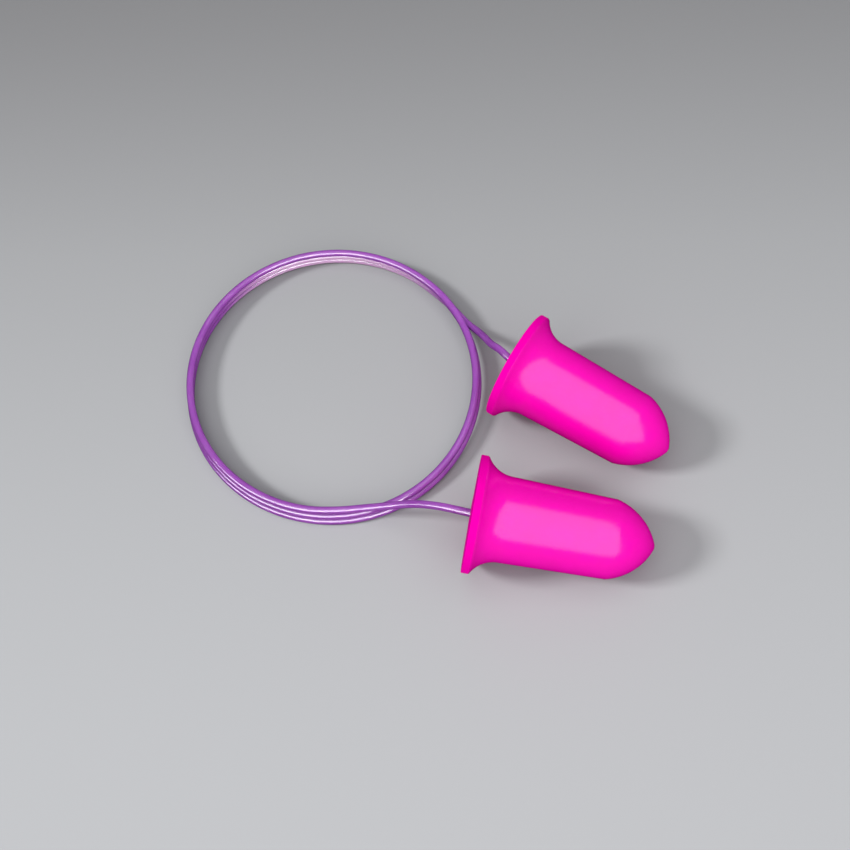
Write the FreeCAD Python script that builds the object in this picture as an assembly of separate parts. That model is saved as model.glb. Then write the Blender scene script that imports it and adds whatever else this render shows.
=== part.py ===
import FreeCAD, Part
import math
import os

# A pair of bell-shaped foam ear plugs joined by one thin plastic cord.
# The plugs lie on a flat surface, each on its flange's rim and the side of its nose.
# The cord is wound in a neat coil of touching turns beside them.
# Millimetres, +Z up. The origin is on the surface, under the middle of the two plugs.

V = FreeCAD.Vector
UP = V(0, 0, 1)

# --- foam plug, along its own axis from the flange's back (0) to the tip (PLUG_LENGTH) ---
PLUG_LENGTH = 25.0
FLANGE_RADIUS = 8.1
RIM_WIDTH = 1.1          # the flange's short cylindrical edge
FLARE_END = 4.8          # the flare meets the body here
FLARE_END_RADIUS = 5.9
FLARE_SAG = 0.6          # hollow of the flare's arc
NOSE_START = 19.15       # the body tapers gently up to here
NOSE_START_RADIUS = 5.45
NOSE_ARC_RADIUS = 8.46   # crown of the nose
TIP_RADIUS = 1.2         # the nose ends in a blunt point

# --- cord ---
CORD_DIAMETER = 1.1
CORD_RADIUS = CORD_DIAMETER / 2

# --- socket in the flange's back: dimple, glued bore ---
DIMPLE_RADIUS = 0.85     # hollow ball around the point where the cord bends
CORD_END_START = 1.0     # the glued stretch of cord, measured from the flange's back
CORD_END_LENGTH = 8.0
GLUE_WALL = 0.3
GLUE_BOTTOM = 0.5

# --- where things lie: middle of each flange's back, and the way each nose points ---
PLUGS = {
    "front": {"x": -12.936, "y": -11.094, "azimuth": -8.2},
    "rear": {"x": -6.981, "y": 12.251, "azimuth": -30.32},
}

# --- coil: three levels of oval turns, each a little wider than the one that lies on it ---
COIL_CENTRE = V(-35.53, 14.59, 0)
COIL_HALF_LENGTH = 23.6  # the top turn's, to the middle of the cord
COIL_HALF_WIDTH = 21.85
COIL_LONG_AXIS = 126.84  # degrees from +X
LEVELS = 3
TURN_SPREAD = 0.25       # each lower turn is this much larger all round
TURN_PITCH = 1.07        # and this much lower
TURN_DRIFT = 0.10        # and lies this much further towards -Y
LOW_SIDE_FROM = 288.0    # degrees: from here to LOW_SIDE_TO only two turns lie
LOW_SIDE_TO = 355.0      # on each other

# --- routes of the two loose tails of the cord, from the coil to the flange's back ---
FRONT_ROUTE = [
    (-32.02, -8.32, 2.69),
    (-29.13, -8.07, 2.79),
    (-24.78, -8.16, 3.9),
    (-21.09, -8.73, 6.1),
    (-17.45, -9.93, 8.05),
    (-15.08, -10.65, 8.48),
    (-12.936, -11.094, 8.17),
]
REAR_ROUTE = [
    (-19.83, 30.34, 0.55),
    (-17.2, 27.65, 0.55),
    (-14.79, 24.42, 0.71),
    (-12.79, 21.81, 2.28),
    (-11.52, 19.14, 4.54),
    (-10.54, 16.65, 6.71),
    (-9.16, 14.83, 8.17),
    (-8.06, 13.37, 8.45),
    (-6.981, 12.251, 8.17),
]
TIGHTEST_BEND = 0.45     # an arc takes this much of the shorter run beside it


def arc_through(start, end, sag):
    """An arc from start to end, whose middle lies sag to the left of the chord."""
    chord = end - start
    left = V(-chord.y, chord.x, 0).normalize()
    middle = (start + end) * 0.5 + left * sag
    return Part.Arc(start, middle, end).toShape()


def arc_about(centre, start, end):
    """The short arc from start to end about a centre."""
    radius = (start - centre).Length
    outward = ((start - centre) + (end - centre)).normalize()
    return Part.Arc(start, centre + outward * radius, end).toShape()


def nose_arc_centre(start, tip_centre):
    """The point that far from both, below the axis, so that the nose's arc runs into the tip's."""
    from_start = NOSE_ARC_RADIUS
    from_tip = NOSE_ARC_RADIUS - TIP_RADIUS
    chord = tip_centre - start
    along = (from_start ** 2 - from_tip ** 2 + chord.Length ** 2) / (2 * chord.Length)
    aside = math.sqrt(from_start ** 2 - along ** 2)
    chord.normalize()
    return start + chord * along + V(chord.y, -chord.x, 0) * aside


def plug_outline():
    """Half of the plug's section: x along the axis, y the radius."""
    back_middle = V(0, 0, 0)
    back_edge = V(0, FLANGE_RADIUS, 0)
    rim_edge = V(RIM_WIDTH, FLANGE_RADIUS, 0)
    flare_end = V(FLARE_END, FLARE_END_RADIUS, 0)
    nose_start = V(NOSE_START, NOSE_START_RADIUS, 0)
    tip = V(PLUG_LENGTH, 0, 0)
    tip_centre = V(PLUG_LENGTH - TIP_RADIUS, 0, 0)
    nose_centre = nose_arc_centre(nose_start, tip_centre)
    nose_end = nose_centre + (tip_centre - nose_centre).normalize() * NOSE_ARC_RADIUS
    return Part.Wire([
        Part.LineSegment(back_middle, back_edge).toShape(),
        Part.LineSegment(back_edge, rim_edge).toShape(),
        arc_through(rim_edge, flare_end, -FLARE_SAG),
        Part.LineSegment(flare_end, nose_start).toShape(),
        arc_about(nose_centre, nose_start, nose_end),
        arc_about(tip_centre, nose_end, tip),
        Part.LineSegment(tip, back_middle).toShape(),
    ])


def turned(wire):
    """The solid of revolution of a section about its x axis."""
    return Part.Face(wire).revolve(V(0, 0, 0), V(1, 0, 0), 360)


def cylinder_along_axis(radius, start, length):
    return Part.makeCylinder(radius, length, V(start, 0, 0), V(1, 0, 0))


def resting_tilt():
    """How far a plug's nose dips when the plug lies on its rim and the side of its nose."""
    nose = plug_outline().OrderedEdges[4]
    first, last = nose.ParameterRange
    steps = 400
    tilts = []
    for step in range(steps + 1):
        point = nose.valueAt(first + (last - first) * step / steps)
        tilts.append(math.degrees(math.atan2(FLANGE_RADIUS - point.y, point.x - RIM_WIDTH)))
    return min(tilts)


TILT = resting_tilt()
FLANGE_HEIGHT = (FLANGE_RADIUS * math.cos(math.radians(TILT))
                 + RIM_WIDTH * math.sin(math.radians(TILT)))


def lay_down(shape, place):
    """Turn a shape made along +X to point as the plug does, with its back's middle in place."""
    tip_down = FreeCAD.Rotation(V(0, 1, 0), TILT)
    swing = FreeCAD.Rotation(UP, place["azimuth"])
    shape = shape.copy()
    shape.Placement = FreeCAD.Placement(V(place["x"], place["y"], FLANGE_HEIGHT), swing * tip_down)
    return shape


def make_plug():
    """Foam plug with a dimple in its flange's back and the bore that the cord is glued into."""
    bore_radius = CORD_RADIUS + GLUE_WALL
    bore_length = CORD_END_START + CORD_END_LENGTH + GLUE_BOTTOM
    dimple = Part.makeSphere(DIMPLE_RADIUS)
    bore = cylinder_along_axis(bore_radius, 0, bore_length)
    return turned(plug_outline()).cut(dimple.fuse(bore)).removeSplitter()


def make_glue():
    """Cup of adhesive around the glued stretch of cord."""
    cup = cylinder_along_axis(CORD_RADIUS + GLUE_WALL, CORD_END_START, CORD_END_LENGTH + GLUE_BOTTOM)
    return cup.cut(cylinder_along_axis(CORD_RADIUS, CORD_END_START, CORD_END_LENGTH))


def make_cord_end():
    return cylinder_along_axis(CORD_RADIUS, CORD_END_START, CORD_END_LENGTH)


def coil_oval(levels_down, aside, height):
    """The oval that a level's turn follows, moved out or in by aside, at a height."""
    grown = TURN_SPREAD * levels_down + aside
    long_end = V(COIL_HALF_LENGTH + grown, 0, 0)
    short_end = V(0, COIL_HALF_WIDTH + grown, 0)
    oval = Part.Wire(Part.Ellipse(long_end, short_end, V(0, 0, 0)).toShape())
    oval.rotate(V(0, 0, 0), UP, COIL_LONG_AXIS)
    oval.translate(COIL_CENTRE + V(0, -TURN_DRIFT * levels_down, height))
    return oval


def make_coil():
    """The coil's outer shape: an oval ring three turns high, and two turns high on its low side."""
    full_height = CORD_DIAMETER + TURN_PITCH * (LEVELS - 1)
    low_height = full_height - TURN_PITCH

    def block(aside):
        bottom = coil_oval(LEVELS - 1, aside, 0)
        top = coil_oval(0, aside, full_height)
        return Part.makeLoft([bottom, top], True, True)

    def far_point(azimuth):
        far = 3 * COIL_HALF_LENGTH
        radians = math.radians(azimuth)
        return COIL_CENTRE + V(far * math.cos(radians), far * math.sin(radians), low_height)

    middle = COIL_CENTRE + V(0, 0, low_height)
    corners = [middle, far_point(LOW_SIDE_FROM), far_point(LOW_SIDE_TO), middle]
    above_low_side = Part.Face(Part.makePolygon(corners)).extrude(UP * full_height)
    coil = block(CORD_RADIUS).cut(block(-CORD_RADIUS)).cut(above_low_side)
    return coil.Solids[0]


def smooth_path(name, route):
    """Straight runs through the route's points, joined by tangent arcs; returns the wire."""
    points = [V(*point) for point in route]
    edges = []
    start = points[0]
    for before, corner, after in zip(points, points[1:], points[2:]):
        arriving = corner - before
        leaving = after - corner
        turn = arriving.getAngle(leaving)
        shorter = min(arriving.Length, leaving.Length)
        setback = TIGHTEST_BEND * shorter
        radius = setback / math.tan(turn / 2)
        print(f"{name}: turn {math.degrees(turn):5.1f} deg, radius {radius:5.2f} mm, "
              f"{radius / CORD_DIAMETER:4.1f} diameters, runs {arriving.Length:.2f} {leaving.Length:.2f}")
        arriving.normalize()
        leaving.normalize()
        arc_start = corner - arriving * setback
        arc_end = corner + leaving * setback
        inward = (leaving - arriving).normalize()
        depth = radius / math.cos(turn / 2) - radius
        edges.append(Part.LineSegment(start, arc_start).toShape())
        edges.append(Part.Arc(arc_start, corner + inward * depth, arc_end).toShape())
        start = arc_end
    edges.append(Part.LineSegment(start, points[-1]).toShape())
    return Part.Wire(edges)


def make_tail(name, route):
    """Tube of cord along a route, with a ball end where it bends in the plug's dimple."""
    path = smooth_path(name, route)
    first = V(*route[0])
    along = (V(*route[1]) - first).normalize()
    circle = Part.Wire(Part.Circle(first, along, CORD_RADIUS).toShape())
    tube = path.makePipeShell([circle], True, False)
    expected = math.pi * CORD_RADIUS ** 2 * path.Length
    print(f"{name}: length {path.Length:.2f} mm, volume {tube.Volume:.3f}, "
          f"section times length {expected:.3f}")
    ball = Part.makeSphere(CORD_RADIUS, V(*route[-1]))
    return tube.fuse(ball).removeSplitter()


os.makedirs("parts", exist_ok=True)

nodes = {"cord_coil": make_coil()}
nodes["front_cord_tail"] = make_tail("front_cord_tail", FRONT_ROUTE)
nodes["rear_cord_tail"] = make_tail("rear_cord_tail", REAR_ROUTE)
for side, place in PLUGS.items():
    nodes[side + "_plug"] = lay_down(make_plug(), place)
    nodes[side + "_glue"] = lay_down(make_glue(), place)
    nodes[side + "_cord_end"] = lay_down(make_cord_end(), place)

print(f"tilt {TILT:.3f} deg, flange centre {FLANGE_HEIGHT:.3f} mm above the surface")
for name, shape in nodes.items():
    box = shape.BoundBox
    print(f"{name}: solids {len(shape.Solids)}, valid {shape.isValid()}, volume {shape.Volume:.2f}, "
          f"x {box.XMin:.2f} {box.XMax:.2f}, y {box.YMin:.2f} {box.YMax:.2f}, z {box.ZMin:.2f} {box.ZMax:.2f}")
    shape.exportStep(f"parts/{name}.step")
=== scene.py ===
import math

import bmesh
import bpy
from mathutils import Matrix, Vector


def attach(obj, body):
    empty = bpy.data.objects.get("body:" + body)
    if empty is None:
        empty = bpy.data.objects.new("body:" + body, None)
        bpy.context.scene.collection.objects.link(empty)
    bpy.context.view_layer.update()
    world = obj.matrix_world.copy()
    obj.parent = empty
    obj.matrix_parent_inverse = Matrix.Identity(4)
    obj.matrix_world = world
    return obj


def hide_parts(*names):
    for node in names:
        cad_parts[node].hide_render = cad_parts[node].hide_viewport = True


# Foam ear plugs on a cord: two bell-shaped foam plugs and one glossy plastic cord, most of it wound
# in a coil. Metres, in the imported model's frame: +Z up, the plugs and the coil lie on z = 0.

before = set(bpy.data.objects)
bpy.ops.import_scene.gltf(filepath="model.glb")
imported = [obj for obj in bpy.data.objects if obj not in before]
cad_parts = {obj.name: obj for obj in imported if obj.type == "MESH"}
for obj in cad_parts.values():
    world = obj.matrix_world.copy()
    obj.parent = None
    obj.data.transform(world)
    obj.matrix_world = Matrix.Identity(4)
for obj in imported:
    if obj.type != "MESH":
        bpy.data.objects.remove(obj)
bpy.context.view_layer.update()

MM = 0.001

# --- camera ---
CAMERA_PLACE = Vector((-3.823, -62.022, 132.984)) * MM
CAMERA_TURN = [math.radians(angle) for angle in (27.404, 6.118, 2.26)]
CAMERA_LENS = 42.0
CAMERA_CLIP_START = 5 * MM

# --- cord ---
CORD_DIAMETER = 1.1 * MM
COIL_CENTRE = Vector((-35.53, 14.59, 0)) * MM
COIL_HALF_LENGTH = 23.6 * MM     # the top turn's, to the middle of the cord
COIL_HALF_WIDTH = 21.85 * MM
COIL_LONG_AXIS = math.radians(126.84)
TURN_SPREAD = 0.25 * MM          # each lower turn is this much larger all round
TURN_PITCH = 1.07 * MM           # and this much lower
TURN_DRIFT = 0.10 * MM           # and lies this much further towards -Y
TOP_LEVEL = 2.69 * MM            # height of the top turn's middle
LEVELS = 3                       # 2.6 turns in all, each on the one below
COIL_START = 150.0               # degrees from the long axis, where the front tail runs into the top turn
COIL_END = 278.0 - 3 * 360.0     # where the lowest turn runs into the rear tail
STEP_DOWN_FROM = -110.0          # a turn goes down to the next level between these angles
STEP_DOWN_TO = -200.0
COIL_STEP = 12.0                 # degrees between control points

# The tails' control points in millimetres, from the coil to the middle of the flange's back.
FRONT_ROUTE = [
    (-32.02, -8.32, 2.69),
    (-29.13, -8.07, 2.79),
    (-24.78, -8.16, 3.9),
    (-21.09, -8.73, 6.1),
    (-17.45, -9.93, 8.05),
    (-15.08, -10.65, 8.48),
    (-12.936, -11.094, 8.17),
]
REAR_ROUTE = [
    (-19.83, 30.34, 0.55),
    (-17.2, 27.65, 0.55),
    (-14.79, 24.42, 0.71),
    (-12.79, 21.81, 2.28),
    (-11.52, 19.14, 4.54),
    (-10.54, 16.65, 6.71),
    (-9.16, 14.83, 8.17),
    (-8.06, 13.37, 8.45),
    (-6.981, 12.251, 8.17),
]
CORD_REACH = 0.45 * MM           # how far the cord's ends go into the plugs' holes

# The cord's colour has a painted highlight: paler on the inward faces of the coil's lower turns on its
# far side.
PAINTED_HIGHLIGHT_INWARD = (-0.45, -0.85)             # the normal's Y, from no glow to all of it
PAINTED_HIGHLIGHT_FAR = (22 * MM, 32 * MM)            # the same for the place's Y
PAINTED_HIGHLIGHT_BELOW_TOP = (2.6 * MM, 2.1 * MM)    # and for its height

# --- foam plug, along its own axis from the flange's back (0) to the tip ---
PLUG_LENGTH = 25.0 * MM
FLANGE_RADIUS = 8.1 * MM
RIM_WIDTH = 1.1 * MM
RIM_ROUNDING = 0.12 * MM
RIM_ROUNDING_END = 20            # degrees, where the rounding runs out into the flare
FLARE_SKIP = 2                   # degrees of the flare's arc that the rounding takes up
FLARE_END = 4.8 * MM
FLARE_END_RADIUS = 5.9 * MM
FLARE_SAG = 0.6 * MM
NOSE_START = 19.15 * MM
NOSE_START_RADIUS = 5.45 * MM
NOSE_ARC_RADIUS = 8.46 * MM
TIP_RADIUS = 1.2 * MM
HOLE_RADIUS = 0.85 * MM          # where the cord goes in
HOLE_DEPTH = 9.5 * MM
LIP_ROUNDING = 0.25 * MM
SWELL_HEIGHT = 0.12 * MM         # the foam stands up a little round the hole
SWELL_END = 2.8 * MM             # radius where the swell has run out
SWELL_STEPS = 10
PLUG_SEGMENTS = 144
PLUG_TILT = math.radians(8.352)  # the nose dips until it touches the surface
PLUG_BACKS = {
    "front": {"place": Vector((-12.936, -11.094, 8.174)) * MM, "azimuth": math.radians(-8.2)},
    "rear": {"place": Vector((-6.981, 12.251, 8.174)) * MM, "azimuth": math.radians(-30.32)},
}

# --- surroundings ---
FLOOR_HALF_SIDE = 1.5
# Painted shade on the floor: its colour darkens from the near part to the far part.
FLOOR_PAINTED_SHADE = (-60 * MM, 140 * MM)    # Y, from the pale near part to the darker far part
WORLD_COLOUR = (0.97, 0.98, 1)
WORLD_BRIGHTNESS = 0.42


def make_camera():
    camera = bpy.data.objects.new("camera", bpy.data.cameras.new("camera"))
    camera.data.lens = CAMERA_LENS
    camera.data.clip_start = CAMERA_CLIP_START
    camera.location = CAMERA_PLACE
    camera.rotation_euler = CAMERA_TURN
    bpy.context.collection.objects.link(camera)
    bpy.context.scene.camera = camera


def eased(share):
    """A share from 0 to 1 with a soft start and end."""
    share = min(1.0, max(0.0, share))
    return share * share * (3 - 2 * share)


def turns_down(angle):
    """How many levels a coil angle has gone down by: one between each pair of step angles."""
    down = 0.0
    for turn in range(LEVELS - 1):
        begin = STEP_DOWN_FROM - 360 * turn
        end = STEP_DOWN_TO - 360 * turn
        down += eased((begin - angle) / (begin - end))
    return down


def coil_points():
    """Control points of the coil's oval turns, from the top turn down to the lowest."""
    steps = round((COIL_START - COIL_END) / COIL_STEP)
    step = (COIL_START - COIL_END) / steps
    swell = 1 / math.cos(math.radians(step / 2))   # the spline runs inside its control points
    turned = Matrix.Rotation(COIL_LONG_AXIS, 3, "Z")
    points = []
    for index in range(1, steps):
        angle = math.radians(COIL_START - index * step)
        down = turns_down(COIL_START - index * step)
        grown = TURN_SPREAD * down
        on_oval = turned @ Vector((
            (COIL_HALF_LENGTH + grown) * swell * math.cos(angle),
            (COIL_HALF_WIDTH + grown) * swell * math.sin(angle),
            0,
        ))
        lowered = Vector((0, -TURN_DRIFT * down, TOP_LEVEL - TURN_PITCH * down))
        points.append(COIL_CENTRE + on_oval + lowered)
    return points


def plug_lay(side):
    """From the plug's own axis, +X to the tip, to where the plug lies."""
    back = PLUG_BACKS[side]
    return (Matrix.Translation(back["place"]) @ Matrix.Rotation(back["azimuth"], 4, "Z")
            @ Matrix.Rotation(PLUG_TILT, 4, "Y"))


def tail_points(side, route):
    """A tail's control points, the last one a little inside the plug's hole."""
    points = [Vector(point) * MM for point in route]
    points[-1] = plug_lay(side) @ Vector((CORD_REACH, 0, 0))
    return points


def make_cord(material):
    """One curve: the front tail, the coil's turns and the rear tail."""
    front = tail_points("front", FRONT_ROUTE)
    rear = tail_points("rear", REAR_ROUTE)
    points = front[::-1] + coil_points() + rear
    curve = bpy.data.curves.new("cord", "CURVE")
    curve.dimensions = "3D"
    curve.bevel_depth = CORD_DIAMETER / 2
    curve.bevel_resolution = 10
    curve.use_fill_caps = True
    curve.resolution_u = 8
    spline = curve.splines.new("NURBS")
    spline.points.add(len(points) - 1)
    for control, point in zip(spline.points, points):
        control.co = (*point, 1)
    spline.order_u = 3
    spline.use_endpoint_u = True
    curve.materials.append(material)
    cord = bpy.data.objects.new("cord", curve)
    bpy.context.collection.objects.link(cord)
    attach(cord, "cord")
    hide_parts("cord_coil", "front_cord_tail", "rear_cord_tail")
    return cord


def arc(centre, radius, start, end, steps):
    """Points on an arc between two angles in degrees, the ends included."""
    points = []
    for step in range(steps + 1):
        angle = math.radians(start + (end - start) * step / steps)
        points.append((centre[0] + radius * math.cos(angle), centre[1] + radius * math.sin(angle)))
    return points


def line(start, end, steps):
    """Points on a straight line, without its ends."""
    return [
        (start[0] + (end[0] - start[0]) * step / steps, start[1] + (end[1] - start[1]) * step / steps)
        for step in range(1, steps)
    ]


def angle_of(centre, point):
    return math.degrees(math.atan2(point[1] - centre[1], point[0] - centre[0]))


def flare_arc():
    """Centre and radius of the hollow arc from the rim to the body."""
    start = Vector((RIM_WIDTH, FLANGE_RADIUS))
    end = Vector((FLARE_END, FLARE_END_RADIUS))
    chord = end - start
    radius = (chord.length ** 2 / 4 + FLARE_SAG ** 2) / (2 * FLARE_SAG)
    outward = Vector((-chord.y, chord.x)).normalized()
    return (start + end) / 2 + outward * (radius - FLARE_SAG), radius


def nose_arc_centre():
    """The nose's arc runs from the end of the straight body into the tip's small arc."""
    start = Vector((NOSE_START, NOSE_START_RADIUS))
    tip_centre = Vector((PLUG_LENGTH - TIP_RADIUS, 0))
    chord = tip_centre - start
    far = NOSE_ARC_RADIUS - TIP_RADIUS
    along = (NOSE_ARC_RADIUS ** 2 - far ** 2 + chord.length ** 2) / (2 * chord.length)
    aside = math.sqrt(NOSE_ARC_RADIUS ** 2 - along ** 2)
    chord.normalize()
    return start + chord * along + Vector((chord.y, -chord.x)) * aside


def plug_profile():
    """The foam's outline as (along, radius): from the cord's hole, round the flange, to the tip."""
    flare_centre, flare_radius = flare_arc()
    flare_from = angle_of(flare_centre, (RIM_WIDTH, FLANGE_RADIUS)) + FLARE_SKIP
    flare_to = angle_of(flare_centre, (FLARE_END, FLARE_END_RADIUS))
    nose_centre = nose_arc_centre()
    tip_centre = (PLUG_LENGTH - TIP_RADIUS, 0)
    nose_from = angle_of(nose_centre, (NOSE_START, NOSE_START_RADIUS))
    nose_to = angle_of(nose_centre, tip_centre)
    lip = (LIP_ROUNDING, HOLE_RADIUS + LIP_ROUNDING)
    rim_back = (RIM_ROUNDING, FLANGE_RADIUS - RIM_ROUNDING)
    rim_front = (RIM_WIDTH - RIM_ROUNDING, FLANGE_RADIUS - RIM_ROUNDING)
    profile = [(HOLE_DEPTH, HOLE_RADIUS)]
    profile += line(profile[-1], (lip[0], HOLE_RADIUS), steps=8)
    profile += arc(lip, LIP_ROUNDING, 270, 180, steps=4)
    for step in range(1, SWELL_STEPS + 1):
        share = step / SWELL_STEPS
        radius = lip[1] + (SWELL_END - lip[1]) * share
        profile.append((-SWELL_HEIGHT * math.sin(math.pi * share) ** 2, radius))
    profile += line(profile[-1], (0, rim_back[1]), steps=10)
    profile += arc(rim_back, RIM_ROUNDING, 180, 90, steps=4)
    profile += line(profile[-1], (rim_front[0], FLANGE_RADIUS), steps=4)
    profile += arc(rim_front, RIM_ROUNDING, 90, RIM_ROUNDING_END, steps=3)
    profile += arc(flare_centre, flare_radius, flare_from, flare_to, steps=14)
    profile += line((FLARE_END, FLARE_END_RADIUS), (NOSE_START, NOSE_START_RADIUS), steps=9)
    profile += arc(nose_centre, NOSE_ARC_RADIUS, nose_from, nose_to, steps=20)
    profile += arc(tip_centre, TIP_RADIUS, nose_to, 0, steps=6)[1:-1]
    return profile


def make_plug(side, skin, cut_foam):
    """Foam plug, turned from its profile; its back and rim are cut foam without the smooth skin."""
    mesh = bmesh.new()
    rings = []
    for along, radius in plug_profile():
        rings.append([
            mesh.verts.new((
                along,
                radius * math.cos(2 * math.pi * segment / PLUG_SEGMENTS),
                radius * math.sin(2 * math.pi * segment / PLUG_SEGMENTS),
            ))
            for segment in range(PLUG_SEGMENTS)
        ])
    for ring, following in zip(rings, rings[1:]):
        for segment in range(PLUG_SEGMENTS):
            beside = (segment + 1) % PLUG_SEGMENTS
            mesh.faces.new((ring[segment], ring[beside], following[beside], following[segment]))
    bottom = mesh.verts.new((HOLE_DEPTH, 0, 0))
    tip = mesh.verts.new((PLUG_LENGTH, 0, 0))
    for segment in range(PLUG_SEGMENTS):
        beside = (segment + 1) % PLUG_SEGMENTS
        mesh.faces.new((bottom, rings[0][beside], rings[0][segment]))
        mesh.faces.new((rings[-1][segment], rings[-1][beside], tip))
    bmesh.ops.recalc_face_normals(mesh, faces=mesh.faces)
    rim_front = RIM_WIDTH - RIM_ROUNDING / 2
    for face in mesh.faces:
        face.smooth = True
        face.material_index = 1 if face.calc_center_median().x < rim_front else 0
    data = bpy.data.meshes.new(side + "_foam")
    mesh.to_mesh(data)
    mesh.free()
    data.transform(plug_lay(side))
    data.materials.append(skin)
    data.materials.append(cut_foam)
    plug = bpy.data.objects.new(side + "_foam", data)
    bpy.context.collection.objects.link(plug)
    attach(plug, side)
    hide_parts(side + "_plug")
    return plug


def new_material(name):
    material = bpy.data.materials.new(name)
    material.use_nodes = True
    return material, material.node_tree.nodes, material.node_tree.links


def set_inputs(node, **inputs):
    """Set a node's unlinked inputs by name, spaces written as underscores."""
    for name, value in inputs.items():
        node.inputs[name.replace("_", " ")].default_value = value


def add_node(nodes, kind, **inputs):
    node = nodes.new(kind)
    set_inputs(node, **inputs)
    return node


def add_range(nodes, source, result=(0.0, 1.0)):
    """A node that maps one range of values to another, and stops at its ends."""
    return add_node(nodes, "ShaderNodeMapRange", From_Min=source[0], From_Max=source[1],
                    To_Min=result[0], To_Max=result[1])


def add_ramp(nodes, *stops):
    """A colour ramp from (position, colour) pairs."""
    ramp = nodes.new("ShaderNodeValToRGB")
    while len(ramp.color_ramp.elements) < len(stops):
        ramp.color_ramp.elements.new(0.5)
    for element, (position, colour) in zip(ramp.color_ramp.elements, stops):
        element.position = position
        element.color = (*colour, 1)
    return ramp


def add_product(nodes, links, first, second):
    """The product of two outputs."""
    multiply = nodes.new("ShaderNodeMath")
    multiply.operation = "MULTIPLY"
    links.new(first, multiply.inputs[0])
    links.new(second, multiply.inputs[1])
    return multiply.outputs["Value"]


def add_colour_mix(nodes):
    """A colour mix node with its two colour inputs and its colour output."""
    mix = nodes.new("ShaderNodeMix")
    mix.data_type = "RGBA"
    first, second = [socket for socket in mix.inputs if socket.type == "RGBA"]
    mixed = [socket for socket in mix.outputs if socket.type == "RGBA"][0]
    return mix, first, second, mixed


def foam_material(name, deep, light, sheen, roughness):
    """Slow-recovery foam: strong pink, very fine grain and faint pores, with a soft sheen on its skin."""
    material, nodes, links = new_material(name)
    surface = nodes["Principled BSDF"]
    set_inputs(surface, Specular_IOR_Level=sheen)
    place = nodes.new("ShaderNodeTexCoord")
    clouds = add_node(nodes, "ShaderNodeTexNoise", Scale=420.0, Detail=3.0, Roughness=0.6)
    tint = add_ramp(nodes, (0.3, deep), (0.7, light))
    rough = add_range(nodes, (0.3, 0.7), (roughness + 0.02, roughness - 0.02))
    grain = add_node(nodes, "ShaderNodeTexNoise", Scale=7000.0, Detail=2.0, Roughness=0.55)
    pores = add_node(nodes, "ShaderNodeTexVoronoi", Scale=2600.0, Randomness=1.0)
    pits = add_ramp(nodes, (0.05, (0.0, 0.0, 0.0)), (0.28, (1.0, 1.0, 1.0)))
    grain_bump = add_node(nodes, "ShaderNodeBump", Strength=0.10, Distance=0.06 * MM)
    pore_bump = add_node(nodes, "ShaderNodeBump", Strength=0.10, Distance=0.04 * MM)
    for texture in (clouds, grain, pores):
        links.new(place.outputs["Object"], texture.inputs["Vector"])
    links.new(clouds.outputs["Fac"], tint.inputs["Fac"])
    links.new(tint.outputs["Color"], surface.inputs["Base Color"])
    links.new(clouds.outputs["Fac"], rough.inputs["Value"])
    links.new(rough.outputs["Result"], surface.inputs["Roughness"])
    links.new(pores.outputs["Distance"], pits.inputs["Fac"])
    links.new(pits.outputs["Color"], pore_bump.inputs["Height"])
    links.new(grain.outputs["Fac"], grain_bump.inputs["Height"])
    links.new(pore_bump.outputs["Normal"], grain_bump.inputs["Normal"])
    links.new(grain_bump.outputs["Normal"], surface.inputs["Normal"])
    return material


def cord_material():
    """Glossy translucent plastic: violet, with a painted highlight that makes it paler on the far side's
    lower turns, inside the coil.
    """
    material, nodes, links = new_material("cord_plastic")
    surface = nodes["Principled BSDF"]
    set_inputs(surface, Specular_IOR_Level=0.6, Subsurface_Weight=0.7,
               Subsurface_Radius=(1.0, 0.5, 1.0), Subsurface_Scale=1.2 * MM)
    place = nodes.new("ShaderNodeTexCoord")
    clouds = add_node(nodes, "ShaderNodeTexNoise", Scale=260.0, Detail=2.0, Roughness=0.5)
    violet = add_ramp(nodes, (0.3, (0.29, 0.075, 0.39)), (0.7, (0.33, 0.10, 0.435)))
    smudges = add_node(nodes, "ShaderNodeTexNoise", Scale=900.0, Detail=3.0, Roughness=0.6)
    rough = add_range(nodes, (0.3, 0.7), (0.10, 0.16))
    facing = nodes.new("ShaderNodeSeparateXYZ")
    where = nodes.new("ShaderNodeSeparateXYZ")
    # Painted highlight: a mask of inward-facing places on the coil's far, lower turns, mixed towards a
    # pale colour.
    inward = add_range(nodes, PAINTED_HIGHLIGHT_INWARD)
    far = add_range(nodes, PAINTED_HIGHLIGHT_FAR)
    below_top = add_range(nodes, PAINTED_HIGHLIGHT_BELOW_TOP)
    far_inward = add_product(nodes, links, inward.outputs["Result"], far.outputs["Result"])
    painted_highlight = add_product(nodes, links, far_inward, below_top.outputs["Result"])
    colour, plain_colour, painted_highlight_colour, mixed_colour = add_colour_mix(nodes)
    # The painted highlight's pale colour.
    painted_highlight_colour.default_value = (0.68, 0.42, 0.66, 1)
    grain = add_node(nodes, "ShaderNodeTexNoise", Scale=3000.0, Detail=2.0, Roughness=0.5)
    bump = add_node(nodes, "ShaderNodeBump", Strength=0.03, Distance=0.03 * MM)
    for reader in (clouds, smudges, grain, where):
        links.new(place.outputs["Object"], reader.inputs["Vector"])
    links.new(place.outputs["Normal"], facing.inputs["Vector"])
    links.new(clouds.outputs["Fac"], violet.inputs["Fac"])
    links.new(smudges.outputs["Fac"], rough.inputs["Value"])
    links.new(rough.outputs["Result"], surface.inputs["Roughness"])
    links.new(facing.outputs["Y"], inward.inputs["Value"])
    links.new(where.outputs["Y"], far.inputs["Value"])
    links.new(where.outputs["Z"], below_top.inputs["Value"])
    links.new(painted_highlight, colour.inputs["Factor"])
    links.new(violet.outputs["Color"], plain_colour)
    links.new(mixed_colour, surface.inputs["Base Color"])
    links.new(grain.outputs["Fac"], bump.inputs["Height"])
    links.new(bump.outputs["Normal"], surface.inputs["Normal"])
    return material


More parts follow.
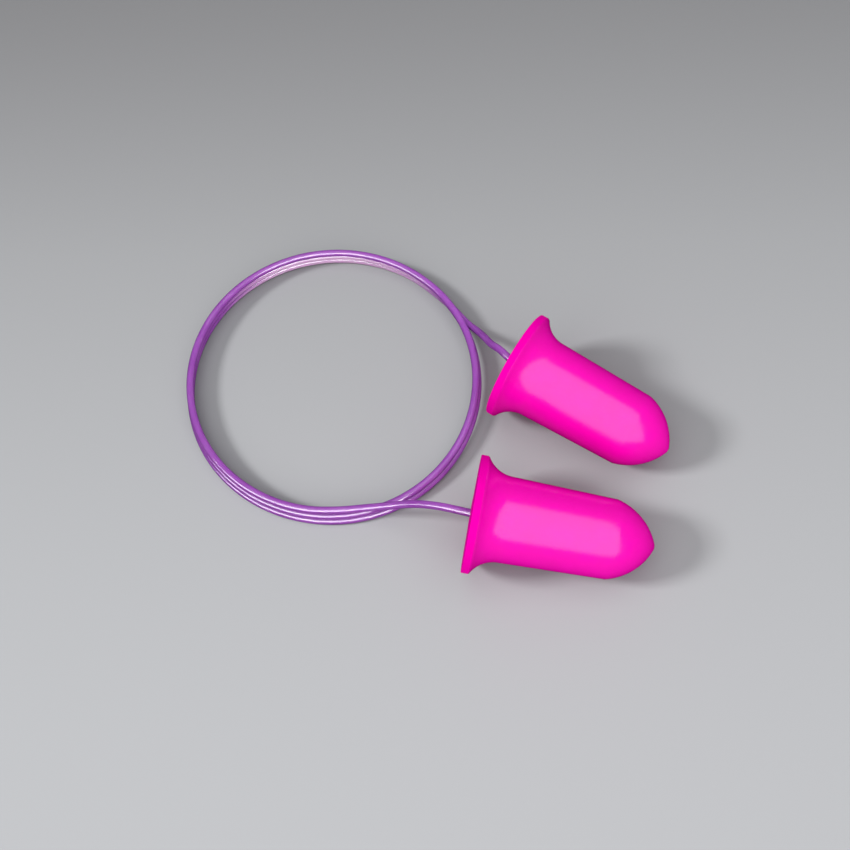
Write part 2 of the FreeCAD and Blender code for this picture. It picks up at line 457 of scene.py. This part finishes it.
def adhesive_material():
    """Clear, slightly yellow set adhesive with small bubbles."""
    material, nodes, links = new_material("adhesive")
    surface = nodes["Principled BSDF"]
    set_inputs(surface, Transmission_Weight=0.4)
    place = nodes.new("ShaderNodeTexCoord")
    bubbles = add_node(nodes, "ShaderNodeTexVoronoi", Scale=2200.0)
    tint = add_ramp(nodes, (0.1, (0.92, 0.88, 0.80)), (0.5, (0.80, 0.73, 0.58)))
    rough = add_range(nodes, (0.1, 0.5), (0.22, 0.4))
    bump = add_node(nodes, "ShaderNodeBump", Strength=0.1, Distance=0.05 * MM)
    links.new(place.outputs["Object"], bubbles.inputs["Vector"])
    links.new(bubbles.outputs["Distance"], rough.inputs["Value"])
    links.new(rough.outputs["Result"], surface.inputs["Roughness"])
    links.new(bubbles.outputs["Distance"], bump.inputs["Height"])
    links.new(bump.outputs["Normal"], surface.inputs["Normal"])
    links.new(bubbles.outputs["Distance"], tint.inputs["Fac"])
    links.new(tint.outputs["Color"], surface.inputs["Base Color"])
    return material


def hide_from_gloss(nodes, links, shader, output):
    """Make a shader black to glossy surfaces, so that they mirror only the lamps."""
    ray = nodes.new("ShaderNodeLightPath")
    black_kind = "ShaderNodeBackground" if shader.type == "BACKGROUND" else "ShaderNodeBsdfDiffuse"
    black = add_node(nodes, black_kind, Color=(0, 0, 0, 1))
    choice = nodes.new("ShaderNodeMixShader")
    links.new(ray.outputs["Is Glossy Ray"], choice.inputs["Fac"])
    links.new(shader.outputs[0], choice.inputs[1])
    links.new(black.outputs[0], choice.inputs[2])
    links.new(choice.outputs["Shader"], output.inputs["Surface"])


def make_floor():
    """A plain pale surface with painted shade: a little darker further back."""
    material, nodes, links = new_material("floor")
    surface = nodes["Principled BSDF"]
    set_inputs(surface, Roughness=0.9, Specular_IOR_Level=0.1)
    place = nodes.new("ShaderNodeTexCoord")
    where = nodes.new("ShaderNodeSeparateXYZ")
    depth = add_range(nodes, FLOOR_PAINTED_SHADE)
    depth.interpolation_type = "SMOOTHSTEP"
    # Painted shade: the floor's colour goes darker further back.
    painted_shade = add_ramp(
        nodes,
        (0.0, (0.315, 0.319, 0.329)),
        (0.5, (0.245, 0.248, 0.255)),
        (1.0, (0.145, 0.145, 0.149)),
    )
    links.new(place.outputs["Object"], where.inputs["Vector"])
    links.new(where.outputs["Y"], depth.inputs["Value"])
    links.new(depth.outputs["Result"], painted_shade.inputs["Fac"])
    links.new(painted_shade.outputs["Color"], surface.inputs["Base Color"])
    hide_from_gloss(nodes, links, surface, nodes["Material Output"])
    mesh = bmesh.new()
    bmesh.ops.create_grid(mesh, x_segments=8, y_segments=8, size=FLOOR_HALF_SIDE)
    data = bpy.data.meshes.new("floor")
    mesh.to_mesh(data)
    mesh.free()
    data.materials.append(material)
    floor = bpy.data.objects.new("floor", data)
    bpy.context.collection.objects.link(floor)
    return floor


def make_panel(name, towards, distance, brightness, left, right, low, high):
    """A rectangular lamp, square to a direction from the origin. Its edges are in units of distance."""
    towards = Vector(towards).normalized()
    across = Vector((0, 0, 1)).cross(towards).normalized()
    upward = towards.cross(across)
    light = bpy.data.lights.new(name, "AREA")
    light.shape = "RECTANGLE"
    light.size = (right - left) * distance
    light.size_y = (high - low) * distance
    light.energy = brightness * math.pi * light.size * light.size_y
    lamp = bpy.data.objects.new(name, light)
    lamp.location = (towards + across * (left + right) / 2 + upward * (low + high) / 2) * distance
    lamp.rotation_euler = (-towards).to_track_quat("-Z", "Y").to_euler()
    lamp.visible_camera = False
    bpy.context.collection.objects.link(lamp)
    return lamp


def light_only(lamp, *objects):
    """Let a lamp light only these objects; everything still casts its shadows."""
    lit = bpy.data.collections.new(lamp.name + "_lights")
    for thing in objects:
        lit.objects.link(thing)
    lamp.light_linking.receiver_collection = lit


def make_lights(cord, plugs, floor):
    """A dim world and a large softbox light everything, and four lamps light one kind of thing each."""
    world = bpy.data.worlds.new("studio")
    bpy.context.scene.world = world
    world.use_nodes = True
    nodes = world.node_tree.nodes
    background = nodes["Background"]
    set_inputs(background, Color=(*WORLD_COLOUR, 1), Strength=WORLD_BRIGHTNESS)
    hide_from_gloss(nodes, world.node_tree.links, background, nodes["World Output"])
    make_panel(
        "softbox", towards=(0, -0.6, 0.8), distance=0.35, brightness=1.47,
        left=-0.80, right=0.96, low=-0.76, high=1.75,
    )
    key = make_panel(
        "key", towards=(-0.6, -0.42, 0.68), distance=0.5, brightness=0.9,
        left=-0.22, right=0.22, low=-0.22, high=0.22,
    )
    floor_key = make_panel(
        "floor_key", towards=(-0.76, -0.10, 0.64), distance=2.0, brightness=76.0,
        left=-0.10, right=0.10, low=-0.10, high=0.10,
    )
    cord_fill = make_panel(
        "cord_fill", towards=(0.15, 0.25, 0.95), distance=0.075, brightness=4.2,
        left=-0.25, right=0.25, low=-0.25, high=0.25,
    )
    strip = make_panel(
        "strip", towards=(-0.10, -0.70, 0.68), distance=0.35, brightness=12.5,
        left=-2.2, right=0.8, low=-0.42, high=0.36,
    )
    for lamp in (key, floor_key, cord_fill):
        lamp.visible_glossy = False
    strip.visible_diffuse = False
    light_only(key, *plugs)
    light_only(floor_key, floor)
    light_only(cord_fill, cord)
    light_only(strip, cord)


bpy.context.scene.view_settings.view_transform = "Standard"

make_camera()
cord_plastic = cord_material()
cord = make_cord(cord_plastic)
foam_skin = foam_material(
    "foam", deep=(0.93, 0.0002, 0.435), light=(0.98, 0.0004, 0.475), sheen=0.69, roughness=0.21
)
cut_foam = foam_material(
    "cut_foam", deep=(0.84, 0.0002, 0.370), light=(0.89, 0.0003, 0.410), sheen=0.01, roughness=0.8
)
adhesive = adhesive_material()
plugs = []
for side in PLUG_BACKS:
    plugs.append(make_plug(side, foam_skin, cut_foam))
    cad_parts[side + "_cord_end"].data.materials[0] = cord_plastic
    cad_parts[side + "_glue"].data.materials[0] = adhesive
floor = make_floor()
make_lights(cord, plugs, floor)
